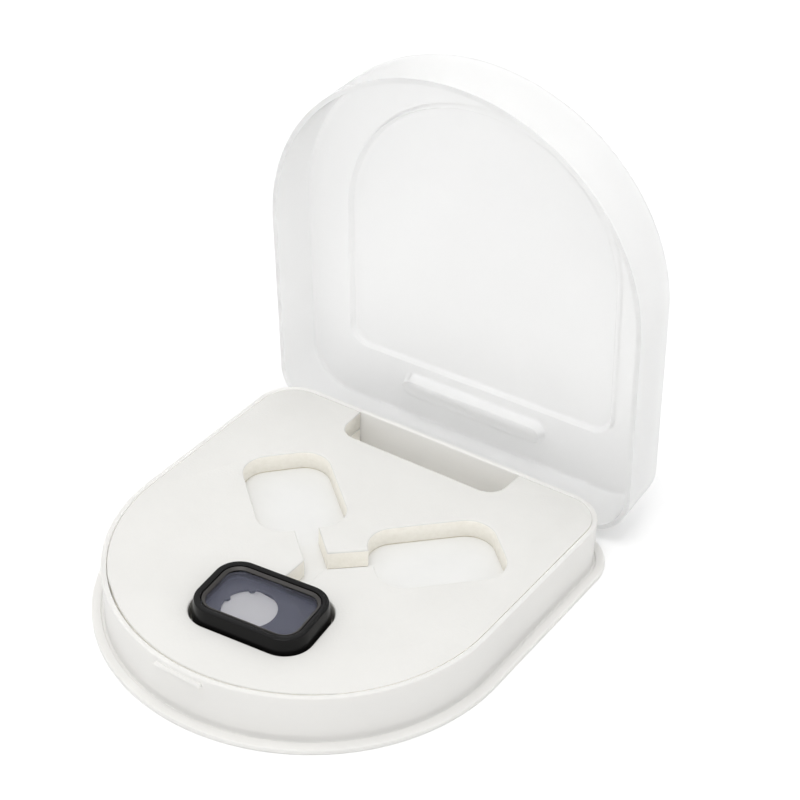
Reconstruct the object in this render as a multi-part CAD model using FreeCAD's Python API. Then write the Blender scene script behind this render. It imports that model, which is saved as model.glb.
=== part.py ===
import FreeCAD, Part
import math
import os

# A clip-on conversion lens for a small camera, lying in its D-shaped hinged storage case.
# Millimetres, +Z up. The origin is on the case's underside, below the centre of the round front.
# +X runs along the hinge, -Y towards the round front. The case stands open, the lens in its recess.

# ---- case outline: a round front, near-straight sides and two rounded back corners
FRONT_R = 47.2          # outer radius of the tray wall's round front
SIDE_FLARE = 0.8        # how much wider each side of the tray is at the back
BACK_Y = 54.7           # outer face of the tray's back wall
BACK_CORNER_R = 10.6

# ---- tray
WALL_TOP = 13.1         # height of the tray's rim
WALL_T = 1.3
FLOOR_T = 1.2
LIP_W = 2.8             # the lip that runs round the foot of the wall
LIP_T = 1.2
LIP_ROUND = 0.3
RIM_ROUND = 0.4

# ---- lid
LID_WALL = 1.2
HEADROOM = 0.7          # between the lens and the closed lid's raised middle
LID_ROUND = 2.0         # outer edge between the lid's wall and its panel
LID_GAP = 0.3           # between the closed lid's rim and the lip
OPEN_DEG = 85.0         # how far the lid stands open
STAGE_INSET = 12.0      # from the lid's outer wall to the raised middle of its panel
STAGE_RISE = 1.6
STAGE_DRAFT = 1.2       # how much narrower the raised middle is at its top, per side
STAGE_WALL = 0.72       # sloping wall round the raised middle
STAGE_CORNER_R = 6.0
STAGE_TO_HINGE = 16.9   # from the hinge line to the raised middle
POCKET_L = 41.4         # long pocket pressed into the lid's panel near the hinge
POCKET_W = 6.0
POCKET_DEPTH = 2.8
POCKET_DRAFT = 0.7
POCKET_TO_HINGE = 12.0  # from the hinge line to the pocket's middle
CATCH_L = 12.6          # catch beads at the front: one on the tray, one in the lid
CATCH_BELOW_RIM = 1.7
CATCH_R = 0.7
CATCH_SINK = 0.15       # how far a bead's centre line lies inside its wall's face
CATCH_GRIP = 1.55       # how far the lid's bead snaps below the tray's

# ---- living hinge
HINGE_OUT = 0.3         # hinge line behind the lip's back edge
FILM_T = 0.35
FILM_DROP = 0.4         # the film's upper face below the lip's upper face
FILM_END_GAP = 1.4      # from the film's end to the start of the rounded corner

# ---- foam insert, two sheets with smooth tape under each
FOAM_GAP = 0.4          # between the foam's edge and the tray's wall
TAPE_T = 0.1
BASE_TAPE_INSET = 2.0
FOAM_BELOW_RIM = 0.15
RECESS_DEPTH = 4.95     # thickness of the upper foam: the tape under it is the recess floor
NOTCH_FRONT_GAP = 0.6   # notch at the back of the foam, round the closed lid's pocket
NOTCH_SIDE_GAP = 2.9
NOTCH_R = 4.8

# ---- recess pattern cut through the upper foam
HUB_X = 3.0             # where the three finger channels meet
FRONT_MARGIN = 12.5     # foam in front of the front recess
PATTERN_TURN = 2.0
CHANNEL_W = 5.6
HUB_TO_SIDE = 12.2      # hub to the near end of a side recess
SIDE_DIR = 42.5         # direction of its middle from +X for the right one, mirrored for the left
SIDE_TURN = 44.0        # direction of its long axis
HUB_TO_FRONT = 10.0     # hub to the near side of the front recess
RECESS_GAP = 0.65        # round the lens
RECESS_R = 6.6

# ---- lens
LENS_TURN = 5.9         # how the lens lies in the front recess
LENS_L = 28.7           # its foot
LENS_W = 20.1
LENS_R = 6.4
LENS_H = 8.05
FOOT_TO_WAIST = 5.0     # straight skirt, then the sides lean in to the front rim
FACE_INSET = 0.5       # how much smaller the front face is, per side
FACE_ROUND = 0.25
LENS_LIFT = 0.05        # the lens's foot above the recess floor
RIM_W = 1.45            # flat black rim of the front face
GROOVE_W = 0.25
SOCKET_DEPTH = 2.55     # the hollow that slips over the camera's nose
SOCKET_WALL = 1.0
SEPTUM_T = 0.9          # plate between the socket and the lens chamber
FIT = 0.05              # glued and screwed fits in the lens
BAFFLE_T = 0.6
APERTURE_X = -2.7       # the aperture sits off the frame's middle, as the camera's own lens does
APERTURE_Y = -0.6
NIB_DEG = (116.0, 173.0)
NIB_R = 0.75
GLASS_T = 1.7
GLASS_SAG = 0.25
GASKET_T = 0.2
GASKET_W = 1.0
SPACER_WALL = 0.9
BEZEL_W = 0.8          # sloping trim ring between the rim and the glass
BEZEL_DROP = 0.6        # from the rim down to the edge of the glass
TRIM_BELOW_RIM = 0.1
TRIM_LAND = 0.2         # flat top of the trim ring
CELL_SIDE_GAP = 0.1     # from the cell's flange to the nearest of the socket's long walls and clips
CELL_STEP = 0.5         # width of that flange's seat
CELL_FLANGE_T = 0.5
CELL_WALL = 0.6        # round cell that carries the rear element
REAR_LEDGE = 1.0        # how far the baffle's edge overhangs the rear element
REAR_T = 1.0
REAR_SAG = 0.35         # hollow of the rear element's lower face
SEAL_T = 0.15
SEAL_W = 0.7
RING_T = 0.5            # threaded ring that holds the rear element
RING_W = 0.9
SPANNER_SLOT = 1.0
CLIP_T = 0.4
CLIP_END_GAP = 0.3      # from a clip's end to the start of the socket's rounded corner
CLIP_H = 2.1
CLIP_FROM_FOOT = 0.02
CLIP_BUMP_R = 0.35
CLIP_BUMP_END = 0.7     # from the end of a clip to the end of its rounded catch
PAD_L = 5.0
PAD_T = 0.3
PAD_H = 1.55
PAD_FROM_FOOT = 0.1
PAD_END_GAP = 0.3


def at(angle, radius=1.0, centre=(0.0, 0.0)):
    a = math.radians(angle)
    return centre[0] + radius * math.cos(a), centre[1] + radius * math.sin(a)


def vec(point, z=0.0):
    return FreeCAD.Vector(point[0], point[1], z)


def slab(wire, low, high):
    face = Part.Face(wire)
    face.translate(FreeCAD.Vector(0, 0, low))
    return face.extrude(FreeCAD.Vector(0, 0, high - low))


def d_wire(front_r, back_half, back_y, corner_r):
    """A round front of front_r about the origin, tangent sides and two rounded back corners."""
    corner = (back_half - corner_r, back_y - corner_r)
    reach = math.hypot(*corner)
    tilt = math.degrees(math.atan2(corner[1], corner[0]) - math.acos((front_r - corner_r) / reach))
    right_front = at(tilt, front_r)
    right_back = at(tilt, corner_r, corner)
    right_mid = at((tilt + 90) / 2, corner_r, corner)
    top = (corner[0], back_y)
    mirror = [(-x, y) for x, y in (right_front, right_back, right_mid, top)]
    left_front, left_back, left_mid, left_top = mirror
    edges = [
        Part.Arc(vec(left_front), vec((0, -front_r)), vec(right_front)),
        Part.LineSegment(vec(right_front), vec(right_back)),
        Part.Arc(vec(right_back), vec(right_mid), vec(top)),
        Part.LineSegment(vec(top), vec(left_top)),
        Part.Arc(vec(left_top), vec(left_mid), vec(left_back)),
        Part.LineSegment(vec(left_back), vec(left_front)),
    ]
    return Part.Wire([edge.toShape() for edge in edges])


def case_wire(grow=0.0):
    return d_wire(FRONT_R + grow, BACK_HALF + grow, BACK_Y + grow, BACK_CORNER_R + grow)


def stage_wire(inset=0.0):
    grow = LIP_W - STAGE_INSET - inset
    back = HINGE_Y - STAGE_TO_HINGE - inset
    return d_wire(FRONT_R + grow, BACK_HALF + grow, back, STAGE_CORNER_R - inset / 2)


def box_wire(length, width, radius, centre=(0.0, 0.0), turn=0.0, z=0.0):
    """A rectangle with rounded corners, turned about its centre."""
    half_l, half_w = length / 2, width / 2
    radius = min(radius, half_l - 0.01, half_w - 0.01)
    edges = []
    corners = ((1, -1, -90), (1, 1, 0), (-1, 1, 90), (-1, -1, 180))
    arcs = []
    for side_x, side_y, start in corners:
        mid = (side_x * (half_l - radius), side_y * (half_w - radius))
        arcs.append([vec(at(start + step, radius, mid), z) for step in (0, 45, 90)])
    for index, arc in enumerate(arcs):
        edges.append(Part.Arc(*arc).toShape())
        edges.append(Part.LineSegment(arc[2], arcs[(index + 1) % 4][0]).toShape())
    wire = Part.Wire(edges)
    wire.rotate(FreeCAD.Vector(0, 0, 0), FreeCAD.Vector(0, 0, 1), turn)
    wire.translate(vec(centre))
    return wire


def tapered(length, width, radius, low, high, inset):
    """A rounded block whose top is smaller by inset per side."""
    foot = box_wire(length, width, radius, z=low)
    head = box_wire(length - 2 * inset, width - 2 * inset, radius - inset, z=high)
    return Part.makeLoft([foot, head], True, True)


def disc(radius, low, high):
    """A disc about the lens's own axis, which runs through its aperture."""
    return Part.makeCylinder(radius, high - low, FreeCAD.Vector(APERTURE_X, APERTURE_Y, low))


def tube(outer_r, inner_r, low, high):
    return disc(outer_r, low, high).cut(disc(inner_r, low, high))


def level_edges(shape, z, tolerance=1e-4):
    found = []
    for edge in shape.Edges:
        box = edge.BoundBox
        if abs(box.ZMin - z) < tolerance and abs(box.ZMax - z) < tolerance:
            found.append(edge)
    return found


def catch_bead(y, z):
    """A round bar along X with rounded ends, to be trimmed to the wall that it stands on."""
    half = CATCH_L / 2 - CATCH_R
    bar = Part.makeCylinder(CATCH_R, 2 * half, FreeCAD.Vector(-half, y, z), FreeCAD.Vector(1, 0, 0))
    for end in (-half, half):
        bar = bar.fuse(Part.makeSphere(CATCH_R, FreeCAD.Vector(end, y, z)))
    return bar.removeSplitter()


# ---- places that follow from the sizes
BACK_HALF = FRONT_R + SIDE_FLARE
HINGE_Y = BACK_Y + LIP_W + HINGE_OUT
LID_RIM_Z = LIP_T + LID_GAP
HINGE_Z = LIP_T + LID_GAP / 2
FOAM_TOP_Z = WALL_TOP - FOAM_BELOW_RIM
FOAM_EDGE = -(WALL_T + FOAM_GAP)
RECESS_FLOOR = FOAM_TOP_Z - RECESS_DEPTH
RECESS_L = LENS_L + 2 * RECESS_GAP
RECESS_W = LENS_W + 2 * RECESS_GAP
LENS_Z = RECESS_FLOOR + LENS_LIFT
LID_TOP_Z = LENS_Z + LENS_H + HEADROOM + LID_WALL - STAGE_RISE
LID_CEILING_Z = LID_TOP_Z - LID_WALL
POCKET_Y = HINGE_Y - POCKET_TO_HINGE
NOTCH_Y = POCKET_Y - POCKET_W / 2 + POCKET_DRAFT - NOTCH_FRONT_GAP
NOTCH_HALF = POCKET_L / 2 - POCKET_DRAFT + NOTCH_SIDE_GAP
FRONT_DIST = HUB_TO_FRONT + RECESS_W / 2
SIDE_DIST = HUB_TO_SIDE + RECESS_L / 2
HUB = (HUB_X, -(FRONT_R + FOAM_EDGE) + FRONT_MARGIN + RECESS_W / 2 + FRONT_DIST)
CATCH_Z = WALL_TOP - CATCH_BELOW_RIM
FACE_L = LENS_L - 2 * FACE_INSET
FACE_W = LENS_W - 2 * FACE_INSET
FACE_R = LENS_R - FACE_INSET
CHAMBER_L = FACE_L - 2 * RIM_W
CHAMBER_W = FACE_W - 2 * RIM_W
CHAMBER_R = FACE_R - RIM_W
SOCKET_L = LENS_L - 2 * SOCKET_WALL
SOCKET_W = LENS_W - 2 * SOCKET_WALL
SOCKET_R = LENS_R - SOCKET_WALL
CELL_FLANGE_R = min(SOCKET_W / 2 - abs(APERTURE_Y), SOCKET_L / 2 - CLIP_T - abs(APERTURE_X)) - CELL_SIDE_GAP
CELL_R = CELL_FLANGE_R - CELL_STEP
REAR_R = CELL_R - CELL_WALL - FIT
APERTURE_R = REAR_R - REAR_LEDGE
SEPTUM_Z = SOCKET_DEPTH + SEPTUM_T
BAFFLE_Z = SEPTUM_Z + BAFFLE_T
BEZEL_LOW = LENS_H - BEZEL_DROP
GLASS_LOW = BEZEL_LOW - GLASS_T
GASKET_LOW = GLASS_LOW - GASKET_T
REAR_LOW = SEPTUM_Z - FIT - REAR_T
SEAL_LOW = REAR_LOW - SEAL_T
RING_LOW = SEAL_LOW - RING_T


def side_place(side):
    """Middle and long-axis direction of a side recess: side is 1 for right, -1 for left."""
    direction = SIDE_DIR if side > 0 else 180 - SIDE_DIR
    long_axis = SIDE_TURN if side > 0 else 180 - SIDE_TURN
    return at(direction, SIDE_DIST, HUB), long_axis + PATTERN_TURN


def front_place():
    return at(-90.0, FRONT_DIST, HUB), LENS_TURN


def recess_places():
    return [front_place(), side_place(1), side_place(-1)]


# ---- case
def case_base():
    lip = slab(case_wire(LIP_W), 0, LIP_T)
    lip = lip.makeFillet(LIP_ROUND, level_edges(lip, LIP_T) + level_edges(lip, 0))
    wall = slab(case_wire(), 0, WALL_TOP)
    wall = wall.cut(slab(case_wire(-WALL_T), FLOOR_T, WALL_TOP))
    wall = wall.makeFillet(min(RIM_ROUND, WALL_T / 3), level_edges(wall, WALL_TOP))
    bead = catch_bead(-FRONT_R + CATCH_SINK, CATCH_Z)
    bead = bead.cut(slab(case_wire(-WALL_T / 2), 0, WALL_TOP))
    return lip.fuse(wall).fuse(bead).removeSplitter()


def with_stage(shell):
    """The raised middle of the lid's panel: the panel is stepped outwards there, wall and all."""
    foot = stage_wire()
    head = stage_wire(STAGE_DRAFT)
    foot.translate(FreeCAD.Vector(0, 0, LID_TOP_Z))
    head.translate(FreeCAD.Vector(0, 0, LID_TOP_Z + STAGE_RISE))
    stage = Part.makeLoft([foot, head], True, True)
    hollow = stage.copy()
    hollow.translate(FreeCAD.Vector(0, 0, -LID_WALL))
    hollow = hollow.common(slab(stage_wire(STAGE_WALL), LID_CEILING_Z, LID_TOP_Z + STAGE_RISE))
    return shell.fuse(stage).cut(hollow)


def with_pocket(shell):
    """The long pocket near the hinge: the panel is pressed inwards there, wall and all."""
    middle = (0.0, POCKET_Y)
    tip_z = LID_CEILING_Z - POCKET_DEPTH
    tip_w = POCKET_W - 2 * POCKET_DRAFT
    root = box_wire(POCKET_L, POCKET_W, POCKET_W / 2, middle, z=LID_CEILING_Z)
    tip = box_wire(POCKET_L - 2 * POCKET_DRAFT, tip_w, tip_w / 2, middle, z=tip_z)
    boss = Part.makeLoft([tip, root], True, True)
    press_w = POCKET_W - 2 * LID_WALL
    outline = box_wire(POCKET_L - 2 * LID_WALL, press_w, press_w / 2, middle)
    return shell.fuse(boss).cut(slab(outline, tip_z + LID_WALL, LID_TOP_Z))


def case_lid_closed():
    outer = slab(case_wire(LIP_W), LID_RIM_Z, LID_TOP_Z)
    outer = outer.makeFillet(LID_ROUND, level_edges(outer, LID_TOP_Z))
    inner = slab(case_wire(LIP_W - LID_WALL), LID_RIM_Z, LID_CEILING_Z)
    inner = inner.makeFillet(LID_ROUND - LID_WALL / 2, level_edges(inner, LID_CEILING_Z))
    shell = with_pocket(with_stage(outer.cut(inner)))
    bead = catch_bead(-(FRONT_R + LIP_W - LID_WALL) - CATCH_SINK, CATCH_Z - CATCH_GRIP)
    bead = bead.common(slab(case_wire(LIP_W - LID_WALL / 2), 0, LID_TOP_Z))
    return shell.fuse(bead).removeSplitter()


def case_lid():
    lid = case_lid_closed()
    lid.rotate(FreeCAD.Vector(0, HINGE_Y, HINGE_Z), FreeCAD.Vector(1, 0, 0), -OPEN_DEG)
    return lid


def living_hinge():
    """The thin film that joins the lip to the lid, kept inside the hinge line's clearance."""
    low_y = BACK_Y + LIP_W
    half = BACK_HALF - BACK_CORNER_R - FILM_END_GAP
    low_z = LIP_T - FILM_DROP - FILM_T
    return Part.makeBox(2 * half, HINGE_OUT, FILM_T, FreeCAD.Vector(-half, low_y, low_z))


# ---- foam insert
def notch():
    depth = BACK_Y + 10 - NOTCH_Y
    return slab(box_wire(2 * NOTCH_HALF, 2 * depth, NOTCH_R, (0.0, NOTCH_Y + depth)), 0, WALL_TOP + 1)


def foam_sheet(low, high, inset=0.0):
    return slab(case_wire(FOAM_EDGE - inset), low, high).cut(notch())


def channel(direction, length, low, high):
    half = CHANNEL_W / 2
    bar = Part.makeBox(length, CHANNEL_W, high - low, FreeCAD.Vector(0, -half, low))
    bar.rotate(FreeCAD.Vector(0, 0, 0), FreeCAD.Vector(0, 0, 1), direction)
    bar.translate(vec(HUB))
    return bar.fuse(Part.makeCylinder(half, high - low, vec(HUB, low)))


def recesses(low, high):
    cut = None
    for middle, turn in recess_places():
        recess = slab(box_wire(RECESS_L, RECESS_W, RECESS_R, middle, turn), low, high)
        run = math.hypot(middle[0] - HUB[0], middle[1] - HUB[1])
        heading = math.degrees(math.atan2(middle[1] - HUB[1], middle[0] - HUB[0]))
        piece = recess.fuse(channel(heading, run, low, high))
        cut = piece if cut is None else cut.fuse(piece)
    return cut.removeSplitter()


def foam_top():
    sheet = foam_sheet(RECESS_FLOOR, FOAM_TOP_Z)
    return sheet.cut(recesses(RECESS_FLOOR, FOAM_TOP_Z)).removeSplitter()


def foam_tape():
    return foam_sheet(RECESS_FLOOR - TAPE_T, RECESS_FLOOR)


def foam_bottom():
    return foam_sheet(FLOOR_T + TAPE_T, RECESS_FLOOR - TAPE_T)


def base_tape():
    return foam_sheet(FLOOR_T, FLOOR_T + TAPE_T, inset=BASE_TAPE_INSET)


# ---- lens, drawn about its own middle with its foot at z = 0, then laid in its recess
def lens_frame():
    skirt = slab(box_wire(LENS_L, LENS_W, LENS_R), 0, FOOT_TO_WAIST)
    body = skirt.fuse(tapered(LENS_L, LENS_W, LENS_R, FOOT_TO_WAIST, LENS_H, FACE_INSET)).removeSplitter()
    body = body.makeFillet(FACE_ROUND, level_edges(body, LENS_H))
    socket = slab(box_wire(SOCKET_L, SOCKET_W, SOCKET_R), 0, SOCKET_DEPTH)
    chamber = slab(box_wire(CHAMBER_L, CHAMBER_W, CHAMBER_R), SEPTUM_Z, LENS_H)
    bore = disc(CELL_R + FIT, SOCKET_DEPTH, SEPTUM_Z)
    return body.cut(socket).cut(chamber).cut(bore)


def trim_ring():
    length = CHAMBER_L - 2 * GROOVE_W
    width = CHAMBER_W - 2 * GROOVE_W
    radius = CHAMBER_R - GROOVE_W
    top = LENS_H - TRIM_BELOW_RIM
    block = slab(box_wire(length, width, radius), BEZEL_LOW, top)
    opening = tapered(length - 2 * TRIM_LAND, width - 2 * TRIM_LAND, radius - TRIM_LAND, top, BEZEL_LOW,
                      BEZEL_W - TRIM_LAND)
    return block.cut(opening)


def front_element():
    half = math.hypot(CHAMBER_L / 2, CHAMBER_W / 2)
    ball_r = (half ** 2 + GLASS_SAG ** 2) / (2 * GLASS_SAG)
    ball = Part.makeSphere(ball_r, FreeCAD.Vector(0, 0, BEZEL_LOW - ball_r))
    return chamber_slab(GLASS_LOW, BEZEL_LOW).common(ball)


def chamber_slab(low, high, inset=FIT):
    """A plate that fits the lens chamber, smaller by inset all round."""
    outline = box_wire(CHAMBER_L - 2 * inset, CHAMBER_W - 2 * inset, CHAMBER_R - inset)
    return slab(outline, low, high)


def ring_frame(low, high, wall):
    return chamber_slab(low, high).cut(chamber_slab(low, high, FIT + wall))


def front_gasket():
    return ring_frame(GASKET_LOW, GLASS_LOW, GASKET_W)


def spacer_frame():
    return ring_frame(BAFFLE_Z, GASKET_LOW, SPACER_WALL)


def light_baffle():
    hole = disc(APERTURE_R, SEPTUM_Z, BAFFLE_Z)
    for angle in NIB_DEG:
        x, y = at(angle, APERTURE_R, (APERTURE_X, APERTURE_Y))
        hole = hole.cut(Part.makeCylinder(NIB_R, BAFFLE_T, FreeCAD.Vector(x, y, SEPTUM_Z)))
    return chamber_slab(SEPTUM_Z, BAFFLE_Z).cut(hole)


def lens_cell():
    flange_low = SOCKET_DEPTH - CELL_FLANGE_T
    cell = disc(CELL_R, RING_LOW, SEPTUM_Z)
    cell = cell.fuse(disc(CELL_FLANGE_R, flange_low, SOCKET_DEPTH))
    return cell.cut(disc(REAR_R + FIT, RING_LOW, SEPTUM_Z)).removeSplitter()


def rear_element():
    ball_r = (REAR_R ** 2 + REAR_SAG ** 2) / (2 * REAR_SAG)
    ball = Part.makeSphere(ball_r, FreeCAD.Vector(APERTURE_X, APERTURE_Y, REAR_LOW + REAR_SAG - ball_r))
    return disc(REAR_R, REAR_LOW, REAR_LOW + REAR_T).cut(ball)


def rear_seal():
    return tube(REAR_R - FIT, REAR_R - SEAL_W, SEAL_LOW, REAR_LOW)


def retaining_ring():
    ring = tube(REAR_R, REAR_R - RING_W, RING_LOW, SEAL_LOW)
    slot = Part.makeBox(2 * CELL_R, SPANNER_SLOT, RING_T / 2,
                        FreeCAD.Vector(APERTURE_X - CELL_R, APERTURE_Y - SPANNER_SLOT / 2, RING_LOW))
    return ring.cut(slot)


def clip(side):
    """A small leaf spring on a short wall of the socket, with a rounded catch across it."""
    length = SOCKET_W - 2 * SOCKET_R - 2 * CLIP_END_GAP
    wall_x = side * SOCKET_L / 2
    face_x = wall_x - side * CLIP_T
    corner = FreeCAD.Vector(min(wall_x, face_x), -length / 2, CLIP_FROM_FOOT)
    leaf = Part.makeBox(CLIP_T, length, CLIP_H, corner)
    catch_start = FreeCAD.Vector(face_x, -length / 2 + CLIP_BUMP_END, CLIP_FROM_FOOT + 2 * CLIP_BUMP_R)
    catch = Part.makeCylinder(CLIP_BUMP_R, length - 2 * CLIP_BUMP_END, catch_start, FreeCAD.Vector(0, 1, 0))
    return leaf.fuse(catch).removeSplitter()


def clip_left():
    return clip(-1)


def clip_right():
    return clip(1)


def grip_pads():
    """Four soft strips on the long walls of the socket, which bear on the camera's nose."""
    pads = []
    wall_y = SOCKET_W / 2
    far_x = SOCKET_L / 2 - SOCKET_R - PAD_END_GAP
    for low_x in (far_x - PAD_L, -far_x):
        for low_y in (wall_y - PAD_T, -wall_y):
            corner = FreeCAD.Vector(low_x, low_y, PAD_FROM_FOOT)
            pads.append(Part.makeBox(PAD_L, PAD_T, PAD_H, corner))
    return Part.makeCompound(pads)


def in_recess(shape):
    middle, turn = front_place()
    shape.rotate(FreeCAD.Vector(0, 0, 0), FreeCAD.Vector(0, 0, 1), turn)
    shape.translate(vec(middle, LENS_Z))
    return shape


CASE_PIECES = (case_base, case_lid, living_hinge, foam_top, foam_bottom, foam_tape, base_tape)
LENS_PIECES = (
    lens_frame, trim_ring, front_element, front_gasket, spacer_frame, light_baffle, lens_cell,
    rear_element, rear_seal, retaining_ring, clip_left, clip_right, grip_pads,
)

os.makedirs("parts", exist_ok=True)
for piece in CASE_PIECES:
    piece().exportStep("parts/" + piece.__name__ + ".step")
for piece in LENS_PIECES:
    in_recess(piece()).exportStep("parts/" + piece.__name__ + ".step")
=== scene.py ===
import bmesh
import bpy
import math
from mathutils import Matrix, Vector


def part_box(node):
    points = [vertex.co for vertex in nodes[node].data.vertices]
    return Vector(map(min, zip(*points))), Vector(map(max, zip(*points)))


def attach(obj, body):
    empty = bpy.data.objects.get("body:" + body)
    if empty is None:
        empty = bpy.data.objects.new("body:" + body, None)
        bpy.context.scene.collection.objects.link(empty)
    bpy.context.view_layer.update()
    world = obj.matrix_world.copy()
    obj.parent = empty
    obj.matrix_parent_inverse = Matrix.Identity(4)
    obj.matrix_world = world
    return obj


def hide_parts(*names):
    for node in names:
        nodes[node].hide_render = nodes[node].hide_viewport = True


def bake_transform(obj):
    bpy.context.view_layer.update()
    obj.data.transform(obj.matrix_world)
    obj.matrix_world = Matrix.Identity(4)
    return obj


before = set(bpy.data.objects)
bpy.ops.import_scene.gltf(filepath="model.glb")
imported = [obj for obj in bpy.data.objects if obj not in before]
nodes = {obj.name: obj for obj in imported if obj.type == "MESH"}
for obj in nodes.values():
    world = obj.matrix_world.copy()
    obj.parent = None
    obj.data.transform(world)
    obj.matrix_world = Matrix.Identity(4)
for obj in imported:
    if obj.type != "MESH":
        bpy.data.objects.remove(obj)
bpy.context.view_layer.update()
MM = 0.001

# ---------------------------------------------------------------- camera
# A short telephoto lens looks down on the open case from its front right, with a slight tilt of the
# camera itself. The view lies off the lens's axis, which the two shifts stand for.
CAMERA_AZIMUTH = math.radians(35.21)
CAMERA_ELEVATION = math.radians(34.71)
CAMERA_ROLL = math.radians(0.53)
CAMERA_DISTANCE = 439.7 * MM
FOCAL_LENGTH = 74.97
SENSOR_WIDTH = 36.0
SHIFT_X = 0.0917
SHIFT_Y = 0.0352
NEAREST = 20.0 * MM
AIM = Vector((-36.6, 57.6, 0.0)) * MM

back = Vector((math.sin(CAMERA_AZIMUTH) * math.cos(CAMERA_ELEVATION),
               -math.cos(CAMERA_AZIMUTH) * math.cos(CAMERA_ELEVATION), math.sin(CAMERA_ELEVATION)))
level = Vector((math.cos(CAMERA_AZIMUTH), math.sin(CAMERA_AZIMUTH), 0.0))
upward = back.cross(level)
right = level * math.cos(CAMERA_ROLL) + upward * math.sin(CAMERA_ROLL)
up = upward * math.cos(CAMERA_ROLL) - level * math.sin(CAMERA_ROLL)
camera = bpy.data.objects.new("camera", bpy.data.cameras.new("camera"))
bpy.context.scene.collection.objects.link(camera)
facing = Matrix((right, up, back)).transposed().to_4x4()
camera.matrix_world = Matrix.Translation(AIM + back * CAMERA_DISTANCE) @ facing
camera.data.lens = FOCAL_LENGTH
camera.data.sensor_width = SENSOR_WIDTH
camera.data.shift_x = SHIFT_X
camera.data.shift_y = SHIFT_Y
camera.data.clip_start = NEAREST
bpy.context.scene.camera = camera

# ---------------------------------------------------------------- floor and light
# A white table that runs on past the view, a white surround, and one large soft light overhead
# and a little in front, as in a product tent.
FLOOR_SIZE = 6.0
FLOOR_GAP = 0.05 * MM
SURROUND = 0.95
OVERHEAD_POWER = 3.7
OVERHEAD_SIZE = 0.5
OVERHEAD_PLACE = Vector((0.05, -0.25, 1.0))


def surface(name, colour, roughness):
    """A new material with its main shader set to one colour and roughness."""
    material = bpy.data.materials.new(name)
    material.use_nodes = True
    shader = material.node_tree.nodes["Principled BSDF"]
    shader.inputs["Base Color"].default_value = (*colour, 1.0)
    shader.inputs["Roughness"].default_value = roughness
    return material


def to_object(bm, name):
    """Turns a finished bmesh into a smooth-shaded object at the origin."""
    mesh = bpy.data.meshes.new(name)
    bm.to_mesh(mesh)
    bm.free()
    piece = bpy.data.objects.new(name, mesh)
    bpy.context.scene.collection.objects.link(piece)
    return piece


floor_bm = bmesh.new()
bmesh.ops.create_grid(floor_bm, x_segments=1, y_segments=1, size=FLOOR_SIZE / 2)
bmesh.ops.translate(floor_bm, verts=floor_bm.verts, vec=(0.0, 0.0, -FLOOR_GAP))
floor = to_object(floor_bm, "floor")
floor.data.materials.append(surface("white_table", (0.93, 0.93, 0.93), 0.6))

world = bpy.data.worlds.new("white_surround")
world.use_nodes = True
world.node_tree.nodes["Background"].inputs["Color"].default_value = (1.0, 1.0, 1.0, 1.0)
world.node_tree.nodes["Background"].inputs["Strength"].default_value = SURROUND
bpy.context.scene.world = world
bpy.context.scene.view_settings.view_transform = "Standard"

overhead = bpy.data.objects.new("overhead", bpy.data.lights.new("overhead", "AREA"))
overhead.data.energy = OVERHEAD_POWER
overhead.data.size = OVERHEAD_SIZE
overhead.location = OVERHEAD_PLACE
overhead.rotation_euler = (-OVERHEAD_PLACE).to_track_quat("-Z", "Y").to_euler()
bpy.context.scene.collection.objects.link(overhead)

# ---------------------------------------------------------------- tray
# The case's lower half: a thin polypropylene shell, injection moulded, D-shaped in plan, with a lip
# round its foot that the lid lands on. Frosted by a fine spark-eroded grain on the mould.
FRONT_R = 47.2 * MM
SIDE_FLARE = 0.8 * MM
BACK_Y = 54.7 * MM
BACK_CORNER_R = 10.6 * MM
LIP_W = 2.8 * MM
FRONT_STEPS = 120
CORNER_STEPS = 16


def arc_points(centre, radius, start, stop, steps, z):
    """Points of an arc in a level plane, without its last one."""
    angles = [start + (stop - start) * i / steps for i in range(steps)]
    return [Vector((centre[0] + radius * math.cos(a), centre[1] + radius * math.sin(a), z)) for a in angles]


def d_points(grow, z, back_y=BACK_Y, corner_r=BACK_CORNER_R, own_back=False):
    """The case's outline offset outwards by grow: a round front, tangent sides, two back corners."""
    front_r = FRONT_R + grow
    half = FRONT_R + SIDE_FLARE + grow
    if not own_back:
        back_y = back_y + grow
        corner_r = corner_r + grow
    cx, cy = half - corner_r, back_y - corner_r
    tilt = math.atan2(cy, cx) - math.acos((front_r - corner_r) / math.hypot(cx, cy))
    points = arc_points((0.0, 0.0), front_r, -math.pi - tilt, tilt, FRONT_STEPS, z)
    points += arc_points((cx, cy), corner_r, tilt, math.pi / 2, CORNER_STEPS, z)
    points += arc_points((-cx, cy), corner_r, math.pi / 2, math.pi - tilt, CORNER_STEPS, z)
    return points


def wrap(bm, outlines, open_ends=False):
    """A skin drawn through outlines of equal length, extruded from each to the next, its ends filled."""
    step = bm.verts.layers.int.get("step") or bm.verts.layers.int.new("step")
    verts = [bm.verts.new(point) for point in outlines[0]]
    for i, vert in enumerate(verts):
        vert[step] = i
    edges = [bm.edges.new((verts[i - 1], verts[i])) for i in range(len(verts))]
    first = list(edges)
    made = set(verts)
    for outline in outlines[1:]:
        grown = bmesh.ops.extrude_edge_only(bm, edges=edges)["geom"]
        fresh = {part for part in grown if isinstance(part, bmesh.types.BMVert)}
        edges = [part for part in grown if isinstance(part, bmesh.types.BMEdge) and set(part.verts) <= fresh]
        for vert in fresh:
            vert.co = outline[vert[step]]
        made |= fresh
    if not open_ends:
        bmesh.ops.edgeloop_fill(bm, edges=first)
        bmesh.ops.edgeloop_fill(bm, edges=edges)
    bmesh.ops.remove_doubles(bm, verts=list(made), dist=1e-7)
    bmesh.ops.recalc_face_normals(bm, faces=bm.faces)


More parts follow.
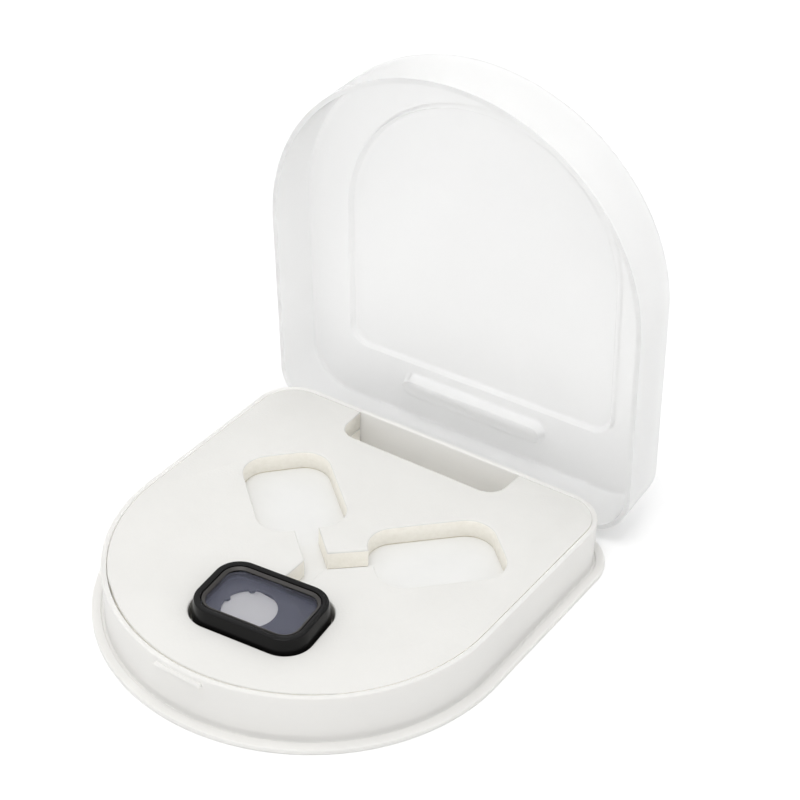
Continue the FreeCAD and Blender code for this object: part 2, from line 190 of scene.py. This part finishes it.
def rounded(corner, before, after, radius, steps=5):
    """Points (out, z) of a rounded corner between the directions of two other profile points."""
    corner, before, after = Vector(corner), Vector(before), Vector(after)
    start = corner + (before - corner).normalized() * radius
    stop = corner + (after - corner).normalized() * radius
    points = []
    for i in range(steps + 1):
        t = i / steps
        points.append(start * (1 - t) ** 2 + corner * 2 * t * (1 - t) + stop * t ** 2)
    return points


def profile(corners):
    """A profile of (out, z, radius) corners in millimetres as points in metres, its corners rounded."""
    points = []
    for i, (out, z, radius) in enumerate(corners):
        here = Vector((out, z)) * MM
        if radius == 0.0 or i in (0, len(corners) - 1):
            points.append(here)
            continue
        before = Vector(corners[i - 1][:2]) * MM
        after = Vector(corners[i + 1][:2]) * MM
        points += rounded(here, before, after, radius * MM)
    return points


def shade(piece, material, sharp_deg=40.0):
    """Gives the piece its material, and smooth shading between its sharp edges."""
    piece.data.materials.append(material)
    for polygon in piece.data.polygons:
        polygon.use_smooth = True
    piece.data.set_sharp_from_angle(angle=math.radians(sharp_deg))


def bump(material, texture, size, depth, **settings):
    """Raises the surface with a fine pattern of that grain size and depth, in metres."""
    tree = material.node_tree
    place = tree.nodes.new("ShaderNodeTexCoord")
    pattern = tree.nodes.new(texture)
    pattern.inputs["Scale"].default_value = 1.0 / size
    for name, value in settings.items():
        pattern.inputs[name.replace("_", " ")].default_value = value
    relief = tree.nodes.new("ShaderNodeBump")
    relief.inputs["Distance"].default_value = depth
    height = "Distance" if texture == "ShaderNodeTexVoronoi" else "Fac"
    tree.links.new(place.outputs["Object"], pattern.inputs["Vector"])
    tree.links.new(pattern.outputs[height], relief.inputs["Height"])
    shader = tree.nodes["Principled BSDF"]
    if shader.inputs["Normal"].is_linked:
        tree.links.new(shader.inputs["Normal"].links[0].from_socket, relief.inputs["Normal"])
    tree.links.new(relief.outputs["Normal"], shader.inputs["Normal"])


def mottle(material, size, first, second, detail=3.0, socket="Base Color"):
    """Lets a colour wander slowly between two close values across the piece."""
    tree = material.node_tree
    place = tree.nodes.new("ShaderNodeTexCoord")
    noise = tree.nodes.new("ShaderNodeTexNoise")
    noise.inputs["Scale"].default_value = 1.0 / size
    noise.inputs["Detail"].default_value = detail
    ramp = tree.nodes.new("ShaderNodeValToRGB")
    ramp.color_ramp.elements[0].position = 0.35
    ramp.color_ramp.elements[1].position = 0.65
    ramp.color_ramp.elements[0].color = (*first, 1.0)
    ramp.color_ramp.elements[1].color = (*second, 1.0)
    tree.links.new(place.outputs["Object"], noise.inputs["Vector"])
    tree.links.new(noise.outputs["Fac"], ramp.inputs["Fac"])
    tree.links.new(ramp.outputs["Color"], tree.nodes["Principled BSDF"].inputs[socket])


def frosted_plastic(name, colour, clearness):
    """Milky polypropylene: clearness is the share of the light that goes straight on through it."""
    material = surface(name, colour, 0.42)
    shader = material.node_tree.nodes["Principled BSDF"]
    shader.inputs["Transmission Weight"].default_value = clearness
    shader.inputs["IOR"].default_value = 1.15
    mottle(material, 0.030, colour, [0.98 * channel for channel in colour])
    bump(material, "ShaderNodeTexNoise", 0.00035, 0.000012, Detail=2.0)
    bump(material, "ShaderNodeTexNoise", 0.012, 0.00010, Detail=1.0)
    return material


def combine(piece, tool, operation):
    """Joins the tool to the piece, or cuts it away, and removes the tool."""
    modifier = piece.modifiers.new(operation, "BOOLEAN")
    modifier.operation = operation
    modifier.solver = "EXACT"
    modifier.object = tool
    bpy.context.view_layer.update()
    done = bpy.data.meshes.new_from_object(piece.evaluated_get(bpy.context.evaluated_depsgraph_get()))
    piece.modifiers.remove(modifier)
    piece.data = done
    bpy.data.objects.remove(tool)


BEAD_L = 12.6
BEAD_R = 0.7
BEAD_ROUND = 6
BEAD_STEPS = 24


def catch_bead(y, z):
    """A small bar with rounded ends, in millimetres, that half sinks into a front wall."""
    turns = [math.pi / 2 * (i + 0.1) / BEAD_ROUND for i in range(BEAD_ROUND)]
    outlines = []
    for side, order in ((-1, turns), (1, turns[::-1])):
        for turn in order:
            reach = side * (BEAD_L / 2 - BEAD_R + BEAD_R * math.cos(turn)) * MM
            radius = BEAD_R * math.sin(turn) * MM
            ring = arc_points((y * MM, z * MM), radius, 0.0, 2 * math.pi, BEAD_STEPS, 0.0)
            outlines.append([Vector((reach, point.x, point.y)) for point in ring])
    bead_bm = bmesh.new()
    wrap(bead_bm, outlines)
    return to_object(bead_bm, "bead_tool")


frosted = frosted_plastic("frosted_tray", (0.97, 0.962, 0.94), 0.35)
TRAY_PROFILE = (
    (-1.0, 0.0, 0.0), (2.8, 0.0, 0.3), (2.8, 1.2, 0.3), (0.8, 1.2, 0.15),
    (0.65, 0.85, 0.1), (0.12, 0.85, 0.1), (0.0, 1.3, 0.1), (0.0, 13.1, 0.4),
    (-1.3, 13.1, 0.4), (-1.3, 1.2, 0.4), (-3.0, 1.2, 0.0),
)
TRAY_BEAD = (-47.05, 11.4)
tray_bm = bmesh.new()
wrap(tray_bm, [d_points(out, z) for out, z in profile(TRAY_PROFILE)])
tray = to_object(tray_bm, "tray")
combine(tray, catch_bead(*TRAY_BEAD), "UNION")
shade(tray, frosted)
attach(tray, "case")
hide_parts("case_base")

# ---------------------------------------------------------------- lid
# The upper half of the same moulding: a wall that lands on the lip, a softly rounded edge, a raised
# middle, and a long pocket pressed inwards near the hinge. It is made shut, then swung open.
HINGE = Vector((0.0, 57.8, 1.35)) * MM
OPEN = math.radians(85.0)
STAGE_BACK = 40.9
STAGE_INSET = 12.0
STAGE_CORNER_R = 6.0


def stage_points(inset, z):
    """The raised middle's outline, smaller by inset all round, in millimetres; its height is in metres."""
    grow = (LIP_W / MM - STAGE_INSET - inset) * MM
    corner_r = (STAGE_CORNER_R - inset / 2) * MM
    return d_points(grow, z, back_y=(STAGE_BACK - inset) * MM, corner_r=corner_r, own_back=True)


LID_OUTER = ((2.8, 1.5, 0.0), (2.8, 16.4, 2.0), (-4.0, 16.4, 0.0))
LID_INNER = ((-4.0, 15.2, 0.0), (1.6, 15.2, 0.7), (1.6, 1.5, 0.0))
STAGE_OUTER = ((0.0, 16.4), (0.25, 16.45), (0.4, 16.6), (0.8, 17.75), (0.98, 17.95), (1.25, 18.0))
STAGE_INNER = ((1.95, 16.8), (1.7, 16.75), (1.5, 16.55), (1.1, 15.45), (0.95, 15.25), (0.7, 15.2))
LID_BEAD = (-48.95, 9.85)
POCKET_Y = 45.8
POCKET_L = 41.4
POCKET_W = 6.0
POCKET_STEPS = 24


def pocket_points(inset, z):
    """A long outline with half-round ends, smaller by inset all round, in millimetres."""
    radius = POCKET_W / 2 - inset
    end = POCKET_L / 2 - POCKET_W / 2
    points = []
    for side, start in ((1, -math.pi / 2), (-1, math.pi / 2)):
        centre = (side * end * MM, POCKET_Y * MM)
        points += arc_points(centre, radius * MM, start, start + math.pi, POCKET_STEPS, z * MM)
    return points


lid_bm = bmesh.new()
lid_outlines = [stage_points(inset, z * MM) for inset, z in reversed(STAGE_OUTER)]
lid_outlines += [d_points(out, z) for out, z in reversed(profile(LID_OUTER)[:-1])]
lid_outlines += [d_points(out, z) for out, z in reversed(profile(LID_INNER)[1:])]
lid_outlines += [stage_points(inset, z * MM) for inset, z in reversed(STAGE_INNER)]
wrap(lid_bm, lid_outlines)
lid = to_object(lid_bm, "lid")
frosted_lid = frosted_plastic("frosted_lid", (0.965, 0.965, 0.962), 0.6)
POCKET_BOSS = (
    (-0.6, 15.5), (-0.6, 15.2), (-0.25, 15.12), (0.06, 14.75), (0.5, 12.85), (0.75, 12.5), (1.2, 12.4),
)
POCKET_PRESS = ((0.7, 17.0), (0.7, 16.4), (0.95, 16.1), (1.3, 13.9), (1.5, 13.65), (1.75, 13.6))
for outlines, operation in ((POCKET_BOSS, "UNION"), (POCKET_PRESS, "DIFFERENCE")):
    tool_bm = bmesh.new()
    wrap(tool_bm, [pocket_points(inset, z) for inset, z in outlines])
    combine(lid, to_object(tool_bm, "pocket_tool"), operation)
combine(lid, catch_bead(*LID_BEAD), "UNION")
lid.data.transform(Matrix.Translation(HINGE) @ Matrix.Rotation(-OPEN, 4, "X") @ Matrix.Translation(-HINGE))
shade(lid, frosted_lid)
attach(lid, "lid")
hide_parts("case_lid")

# ---------------------------------------------------------------- living hinge
# A thin film of the same moulding joins the tray's lip to the lid's rim.
FILM_HALF = 36.0
FILM_T = 0.3
FILM_SPANS = 24
FILM_LINE = (
    (57.40, 0.62), (57.62, 0.66), (57.86, 0.80), (58.02, 1.05), (58.08, 1.35), (58.06, 1.62), (58.0, 1.78),
)
film_bm = bmesh.new()
outer_side = [Vector((-FILM_HALF, y, z)) * MM for y, z in FILM_LINE]
inner_side = []
for i, point in enumerate(outer_side):
    along = outer_side[min(i + 1, len(outer_side) - 1)] - outer_side[max(i - 1, 0)]
    inner_side.append(point + Vector((0.0, -along.z, along.y)).normalized() * FILM_T * MM)
section = outer_side + inner_side[::-1]
strides = [Vector((2 * FILM_HALF * MM * i / FILM_SPANS, 0, 0)) for i in range(FILM_SPANS + 1)]
wrap(film_bm, [[point + stride for point in section] for stride in strides])
hinge_film = to_object(film_bm, "hinge_film")
shade(hinge_film, frosted)
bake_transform(hinge_film)
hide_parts("living_hinge")

# ---------------------------------------------------------------- foam insert
# Two sheets of closed-cell polyethylene foam. The upper one is die-cut with three recesses and their
# finger channels: its skin is smooth, and its cut walls show the cells. The cut walls are painted lighter
# than the skin, as painted light against the shade in the recesses. Each sheet lies on a film, and a
# darker tan band is painted on the chamfer at the foot of the cut walls as painted shade.
DIE_ROUND = 0.4 * MM
RIM_ROUND = 0.15 * MM
RIM_SPREAD = 0.28 * MM
FOOT_RELIEF = 0.22 * MM
NOTCH_HALF = 30.0 * MM
NOTCH_START = 1.0 * MM
RIM_BAND = 2.0 * MM
SKIN, CUT_PAINTED_LIGHTER, FOOT_PAINTED_SHADE = range(3)

skin_foam = surface("foam_skin", (0.70, 0.69, 0.66), 0.85)
mottle(skin_foam, 0.018, (0.705, 0.698, 0.675), (0.685, 0.678, 0.655))
bump(skin_foam, "ShaderNodeTexVoronoi", 0.0006, 0.00003)
bump(skin_foam, "ShaderNodeTexNoise", 0.009, 0.00016, Detail=2.0)

# Painted light: the cut walls are given a lighter cream colour than the skin, to lift the shade in the
# recesses; their cells are the cut face's own grain.
cut_foam_painted_lighter = surface("foam_cut_painted_lighter", (0.93, 0.905, 0.84), 0.95)
cut_foam_painted_lighter.node_tree.nodes["Principled BSDF"].inputs["Specular IOR Level"].default_value = 0.2
mottle(cut_foam_painted_lighter, 0.0012, (0.94, 0.915, 0.85), (0.905, 0.88, 0.81))
bump(cut_foam_painted_lighter, "ShaderNodeTexVoronoi", 0.00055, 0.00005)

# Painted shade: a darker tan band for the downward chamfer at the foot of the cut walls, where shade falls in
# the crease.
foot_painted_shade = surface("foot_painted_shade", (0.80, 0.72, 0.48), 0.6)
mottle(foot_painted_shade, 0.003, (0.84, 0.77, 0.55), (0.74, 0.66, 0.42))


def merged_copy(node):
    """The node's own mesh with its corners merged and its flat faces whole again."""
    bm = bmesh.new()
    bm.from_mesh(nodes[node].data)
    for layer in list(bm.loops.layers.uv):
        bm.loops.layers.uv.remove(layer)
    bmesh.ops.remove_doubles(bm, verts=bm.verts, dist=2e-6)
    bmesh.ops.dissolve_limit(bm, angle_limit=math.radians(1.0), verts=bm.verts, edges=bm.edges)
    return bm


def sharp_edges(bm, least_deg=35.0):
    """The edges at which the surface turns by more than that angle."""
    found = []
    for edge in bm.edges:
        if edge.is_manifold and edge.calc_face_angle(0.0) > math.radians(least_deg):
            found.append(edge)
    return found


def soften(bm, edges, radius, segments=3, clamp=True):
    """Rounds or chamfers the edges, by radius in metres."""
    bmesh.ops.bevel(bm, geom=edges, offset=radius, offset_type="OFFSET", segments=segments, profile=0.5,
                    affect="EDGES", clamp_overlap=clamp, material=-1)


def level_with(edges, z):
    """Those of the edges that lie in the level plane at z."""
    return [edge for edge in edges if all(abs(vert.co.z - z) < 1e-6 for vert in edge.verts)]


foam_low, foam_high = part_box("foam_top")


def on_rim(edge):
    """True for an edge of the sheet's outer outline, which the tray's wall holds square."""
    middle = (edge.verts[0].co + edge.verts[1].co) / 2
    in_notch = abs(middle.x) < NOTCH_HALF and middle.y < foam_high.y - NOTCH_START
    return middle.xy.length > foam_high.x - RIM_BAND and not in_notch


foam_bm = merged_copy("foam_top")
top_edges = level_with(sharp_edges(foam_bm), foam_high.z)
rim_verts = {vert for edge in top_edges if on_rim(edge) for vert in edge.verts}
for vert in rim_verts:
    vert.co.x *= 1 + RIM_SPREAD / foam_high.x
    vert.co.y *= 1 + RIM_SPREAD / (foam_high.y if vert.co.y > 0.0 else -foam_low.y)
soften(foam_bm, [edge for edge in top_edges if not on_rim(edge)], DIE_ROUND, segments=5, clamp=False)
top_edges = level_with(sharp_edges(foam_bm, 60.0), foam_high.z)
soften(foam_bm, [edge for edge in top_edges if on_rim(edge)], RIM_ROUND, segments=2)
soften(foam_bm, level_with(sharp_edges(foam_bm), foam_low.z), FOOT_RELIEF, segments=1)
# Faces that don't face up take the cut colour, painted lighter than the skin as painted light; the downward
# chamfers at the foot take the painted shade band.
for face in foam_bm.faces:
    face.material_index = CUT_PAINTED_LIGHTER if face.normal.z < 0.25 else SKIN
    aslant = -0.8 < face.normal.z < -0.6
    if aslant and face.calc_center_median().z < foam_low.z + FOOT_RELIEF:
        face.material_index = FOOT_PAINTED_SHADE
foam_sheet = to_object(foam_bm, "foam_sheet")
shade(foam_sheet, skin_foam)
foam_sheet.data.materials.append(cut_foam_painted_lighter)
foam_sheet.data.materials.append(foot_painted_shade)
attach(foam_sheet, "case")
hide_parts("foam_top")


def finish_node(name, material):
    """Sets the material of a node that keeps the shape it was packed with."""
    for material_slot in nodes[name].material_slots:
        material_slot.material = material


# The lower sheet takes the same cut colour, painted lighter as painted light.
finish_node("foam_bottom", cut_foam_painted_lighter)

film = surface("smooth_film", (0.73, 0.73, 0.72), 0.4)
mottle(film, 0.010, (0.74, 0.74, 0.73), (0.72, 0.72, 0.71))
bump(film, "ShaderNodeTexNoise", 0.004, 0.00012, Detail=1.0)
finish_node("foam_tape", film)
finish_node("base_tape", film)

# ---------------------------------------------------------------- lens frame
# The lens's body, moulded in black nylon with a fine satin grain. A skirt below slips over the
# camera's nose; a plate across the middle carries the rear element, and the glass sits above it.
LENS_TURN = math.radians(5.9)
LENS_L = 28.7
LENS_W = 20.1
LENS_R = 6.4
PLATE_TOP = 3.45
PLATE_LOW = 2.55
CORNER_POINTS = 14
BORE_R = 7.9
BORE_X = -2.7
BORE_Y = -0.6
lens_low, lens_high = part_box("lens_frame")
lens_foot = Vector(((lens_low.x + lens_high.x) / 2, (lens_low.y + lens_high.y) / 2, lens_low.z))
LENS_PLACE = Matrix.Translation(lens_foot) @ Matrix.Rotation(LENS_TURN, 4, "Z")

FRAME_PROFILE = (
    (0.2, 0.0), (0.06, 0.06), (0.0, 0.2), (0.0, 4.6), (0.02, 4.9), (0.07, 5.25), (0.46, 7.82), (0.49, 7.92),
    (0.55, 8.0), (0.64, 8.04), (0.74, 8.05), (1.85, 8.05), (1.92, 8.02), (1.95, 7.95),
    (1.95, PLATE_TOP),
)
SOCKET_PROFILE = ((1.0, PLATE_LOW), (1.0, 0.12), (0.92, 0.0), (0.2, 0.0))


def frame_points(inset, z):
    """The lens's rounded-rectangular outline, smaller by inset all round, in millimetres."""
    half_l, half_w, radius = LENS_L / 2 - inset, LENS_W / 2 - inset, max(LENS_R - inset, 0.3)
    points = []
    for side_x, side_y, start in ((1, -1, -90), (1, 1, 0), (-1, 1, 90), (-1, -1, 180)):
        centre = (side_x * (half_l - radius) * MM, side_y * (half_w - radius) * MM)
        first, last = math.radians(start), math.radians(start + 90)
        points += arc_points(centre, radius * MM, first, last, CORNER_POINTS, z * MM)
        x = centre[0] + radius * MM * math.cos(last)
        y = centre[1] + radius * MM * math.sin(last)
        points.append(Vector((x, y, z * MM)))
    return points


def bore_points(like, z):
    """The bore's circle, its points facing those of another outline, so a skin between them lies straight."""
    centre = Vector((BORE_X, BORE_Y)) * MM
    points = []
    for point in like:
        out = (Vector((point.x, point.y)) - centre).normalized() * BORE_R * MM + centre
        points.append(Vector((out.x, out.y, z * MM)))
    return points


def in_place(bm, name):
    """A finished bmesh, drawn about the lens's own axis, as an object set in the lens's place."""
    bmesh.ops.transform(bm, matrix=LENS_PLACE, verts=bm.verts)
    return to_object(bm, name)


satin = surface("satin_black_nylon", (0.004, 0.004, 0.004), 0.18)
satin.node_tree.nodes["Principled BSDF"].inputs["Specular IOR Level"].default_value = 0.18
mottle(satin, 0.004, (0.15, 0.15, 0.15), (0.21, 0.21, 0.21), socket="Roughness")
bump(satin, "ShaderNodeTexNoise", 0.00022, 0.000006, Detail=2.0)

frame_bm = bmesh.new()
outlines = [frame_points(inset, z) for inset, z in FRAME_PROFILE]
outlines += [bore_points(outlines[-1], PLATE_TOP), bore_points(outlines[-1], PLATE_LOW)]
outlines += [frame_points(inset, z) for inset, z in SOCKET_PROFILE]
wrap(frame_bm, outlines, open_ends=True)
lens_body = in_place(frame_bm, "lens_body")
shade(lens_body, satin, sharp_deg=50.0)
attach(lens_body, "lens")
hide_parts("lens_frame")

# ---------------------------------------------------------------- trim ring
# A thin stamped aluminium ring, anodised a warm dark grey, that slopes down from the rim to the
# glass and holds it. A narrow black groove is left between it and the frame.
TRIM_PROFILE = (
    (2.2, 7.45), (2.2, 7.86), (2.24, 7.93), (2.32, 7.95), (2.42, 7.92),
    (2.86, 7.57), (2.95, 7.50), (3.0, 7.47), (3.0, 7.45), (2.2, 7.45),
)
anodised = surface("warm_grey_anodised", (0.036, 0.033, 0.031), 0.42)
anodised.node_tree.nodes["Principled BSDF"].inputs["Metallic"].default_value = 0.2
mottle(anodised, 0.003, (0.038, 0.035, 0.033), (0.032, 0.029, 0.027))
bump(anodised, "ShaderNodeTexNoise", 0.00012, 0.000004, Detail=2.0)
trim_bm = bmesh.new()
wrap(trim_bm, [frame_points(inset, z) for inset, z in TRIM_PROFILE], open_ends=True)
trim = in_place(trim_bm, "sloping_trim")
shade(trim, anodised)
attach(trim, "lens")
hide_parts("trim_ring")

# ---------------------------------------------------------------- front element
# A slightly domed plate of optical glass, cut to the frame's shape. Its coating leaves a faint
# violet-blue reflection, and its ground edge is chamfered. The rear glass is a little milky.
GLASS_TOP = 7.45
GLASS_LOW = 5.75
GLASS_INSET = 2.0
GLASS_CHAMFER = 0.15
DOME_R = 432.0
DOME_INSETS = (3.2, 4.8, 6.4, 8.0, 9.4)


def domed(points):
    """Lowers each point of an outline onto the glass's upper face."""
    for point in points:
        point.z = GLASS_TOP * MM - (point.x ** 2 + point.y ** 2) / (2 * DOME_R * MM)
    return points


coated = surface("coated_glass", (0.965, 0.965, 0.99), 0.015)
coated_shader = coated.node_tree.nodes["Principled BSDF"]
coated_shader.inputs["Transmission Weight"].default_value = 1.0
coated_shader.inputs["IOR"].default_value = 1.5
coated_shader.inputs["Specular Tint"].default_value = (0.62, 0.66, 1.0, 1.0)
mottle(coated, 0.006, (0.97, 0.97, 0.99), (0.96, 0.96, 0.988))
glass_bm = bmesh.new()
edge_top = domed(frame_points(GLASS_INSET, 0.0))
glass_outlines = [
    frame_points(GLASS_INSET + GLASS_CHAMFER, GLASS_LOW),
    frame_points(GLASS_INSET, GLASS_LOW + GLASS_CHAMFER),
    [point - Vector((0.0, 0.0, GLASS_CHAMFER * MM)) for point in edge_top],
]
for inset in (GLASS_INSET + GLASS_CHAMFER, *DOME_INSETS):
    glass_outlines.append(domed(frame_points(inset, 0.0)))
wrap(glass_bm, glass_outlines)
front_glass = in_place(glass_bm, "front_glass")
shade(front_glass, coated, sharp_deg=30.0)
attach(front_glass, "lens")
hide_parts("front_element")

hazed = surface("hazed_rear_glass", (0.99, 0.985, 0.99), 0.05)
hazed_shader = hazed.node_tree.nodes["Principled BSDF"]
hazed_shader.inputs["Transmission Weight"].default_value = 0.35
hazed_shader.inputs["IOR"].default_value = 1.5
mottle(hazed, 0.006, (0.995, 0.99, 0.995), (0.985, 0.98, 0.985))
finish_node("rear_element", hazed)

# ---------------------------------------------------------------- inside the lens
# The blackened baffle with its off-centre aperture, the spacer above it, the turned cell and slotted
# ring that hold the rear element, and the socket's soft pads and leaf clips. Their edges are broken a little.
blued = surface("blue_black_baffle", (0.050, 0.053, 0.068), 0.6)
mottle(blued, 0.003, (0.052, 0.055, 0.071), (0.046, 0.049, 0.063))
bump(blued, "ShaderNodeTexNoise", 0.00015, 0.000006, Detail=2.0)

# Painted light: the spacer's inner wall lies in shade, so it is painted a lighter blue-grey than the baffle,
# to look as bright as the lit plate below the glass.
spacer_painted_lighter = surface("blue_grey_spacer_painted_lighter", (0.085, 0.090, 0.112), 0.6)
mottle(spacer_painted_lighter, 0.003, (0.088, 0.093, 0.116), (0.079, 0.084, 0.105))
bump(spacer_painted_lighter, "ShaderNodeTexNoise", 0.00015, 0.000006, Detail=2.0)

turned = surface("turned_aluminium", (0.80, 0.79, 0.78), 0.38)
turned.node_tree.nodes["Principled BSDF"].inputs["Metallic"].default_value = 1.0
mottle(turned, 0.002, (0.82, 0.81, 0.80), (0.76, 0.75, 0.74))
bump(turned, "ShaderNodeTexNoise", 0.0001, 0.000003, Detail=1.0)

rubber = surface("black_rubber", (0.014, 0.014, 0.014), 0.75)
mottle(rubber, 0.002, (0.016, 0.016, 0.016), (0.011, 0.011, 0.011))
bump(rubber, "ShaderNodeTexNoise", 0.0002, 0.00001, Detail=3.0)

sprung = surface("rolled_spring_steel", (0.52, 0.52, 0.51), 0.28)
sprung.node_tree.nodes["Principled BSDF"].inputs["Metallic"].default_value = 1.0
mottle(sprung, 0.002, (0.55, 0.55, 0.54), (0.47, 0.47, 0.465))
bump(sprung, "ShaderNodeTexNoise", 0.00008, 0.000002, Detail=2.0)

INNER_PIECES = (
    ("light_baffle", "baffle_plate", blued, "inner_black", 0.08),
    ("spacer_frame", "spacer", spacer_painted_lighter, "inner_black", 0.1),
    ("lens_cell", "rear_cell", turned, "turned_aluminium", 0.08),
    ("retaining_ring", "slotted_ring", turned, "turned_aluminium", 0.06),
    ("grip_pads", "soft_pads", rubber, "black_rubber", 0.08),
    ("clip_left", "left_leaf", sprung, "spring_steel", 0.05),
    ("clip_right", "right_leaf", sprung, "spring_steel", 0.05),
)
for node, name, material, slot_name, chamfer in INNER_PIECES:
    inner_bm = merged_copy(node)
    soften(inner_bm, sharp_edges(inner_bm), chamfer * MM, segments=2)
    inner_piece = to_object(inner_bm, name)
    shade(inner_piece, material)
    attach(inner_piece, "lens")
    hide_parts(node)
finish_node("front_gasket", rubber)
finish_node("rear_seal", rubber)
